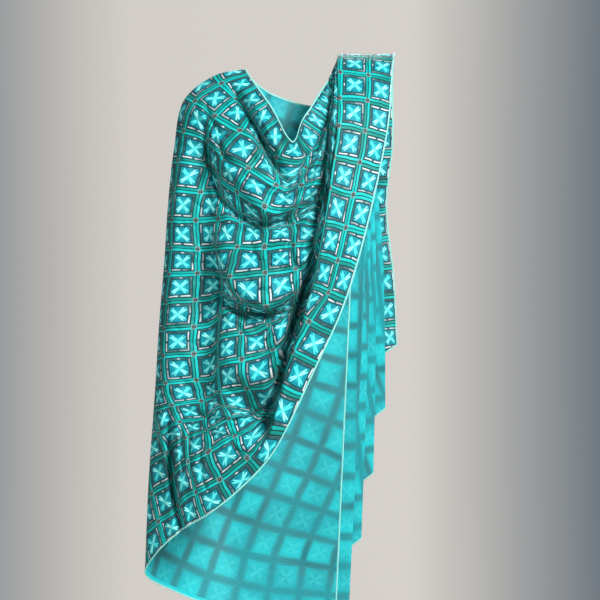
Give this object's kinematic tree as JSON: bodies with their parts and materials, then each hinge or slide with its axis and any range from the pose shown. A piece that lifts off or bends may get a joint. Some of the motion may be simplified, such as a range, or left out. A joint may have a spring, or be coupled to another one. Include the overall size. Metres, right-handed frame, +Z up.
{
  "type": "phulkari shawl",
  "caption": "Embroidered rectangular shawl in its worn drape: over the right arm, across the chest in swags and pleated over the left shoulder.",
  "frame": {"origin": "base of the neck between the shoulders, where the figure that wears the shawl would hold it", "axes": "+Z up, the front of the drape faces -Y, and the wearer's left is +X"},
  "size_m": [0.5178, 0.4282, 1.1936],
  "materials": {
    "embroidered_cloth": "silky embroidered cloth",
    "light_edging": "overlocked edge"
  },
  "bodies": {
    "root": {"back_panel": "embroidered_cloth", "arm_drape": "embroidered_cloth", "front_cowl": "embroidered_cloth", "front_band": "embroidered_cloth", "shoulder_pleats": "embroidered_cloth", "shoulder_fall": "embroidered_cloth", "neck_edging": "light_edging", "hem_edging": "light_edging", "front_end_edging": "light_edging", "back_end_edging": "light_edging"}
  },
  "joints": []
}
